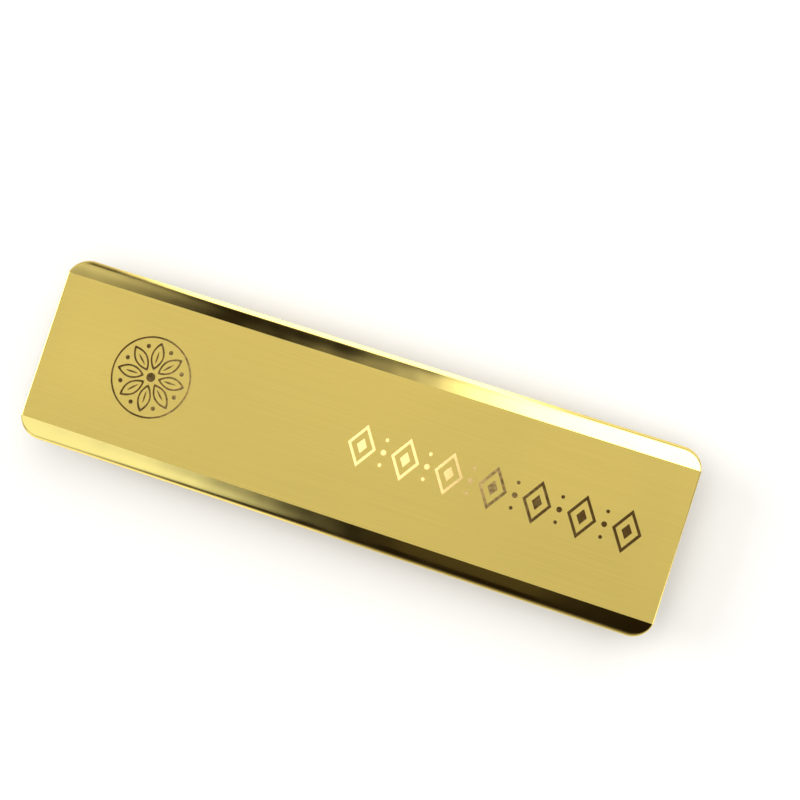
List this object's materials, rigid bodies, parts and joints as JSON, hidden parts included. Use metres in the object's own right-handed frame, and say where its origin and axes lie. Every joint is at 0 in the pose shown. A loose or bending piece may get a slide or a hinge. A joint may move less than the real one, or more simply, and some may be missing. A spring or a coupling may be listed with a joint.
{
  "type": "name badge",
  "caption": "Slim rectangular metal name badge with bevelled long edges, a sprung pocket clip and a safety pin on its back.",
  "frame": {"origin": "on the surface that the badge lies on, under the middle of the plate", "axes": "+X along the badge to the right as its face is read, +Y to the badge's top edge, +Z out of its face; the badge lies face up on its fastener"},
  "size_m": [0.07, 0.02, 0.0069],
  "materials": {
    "satin_gold": "brushed satin face and back, mirror-polished facets along the long edges",
    "gold_plated_sheet": "polished gold plate on stamped steel sheet",
    "gold_plated_wire": "polished gold plate on drawn steel wire",
    "spring_steel": "nickel-plated spring steel wire"
  },
  "bodies": {
    "badge": {"badge_plate": "satin_gold", "clip_base": "gold_plated_sheet", "pin_bar": "gold_plated_sheet", "hinge_axle": "gold_plated_wire", "flap_spring": "spring_steel", "needle_post": "spring_steel"},
    "flap": {"clip_flap": "gold_plated_sheet"},
    "needle": {"pin_needle": "spring_steel"}
  },
  "joints": [
    {"name": "flap_hinge", "type": "hinge", "parent": "badge", "child": "flap", "pos_m": [0, 0.0039, 0.00325], "axis": [1, 0, 0], "range_deg": [0, 10], "stiffness_Nm_per_rad": 0.004, "springref_deg": -2.29},
    {"name": "needle_lift", "type": "hinge", "parent": "badge", "child": "needle", "pos_m": [-0.01303, 0.00515, 0.00145], "axis": [0, 1, 0], "range_deg": [0, 45]}
  ]
}
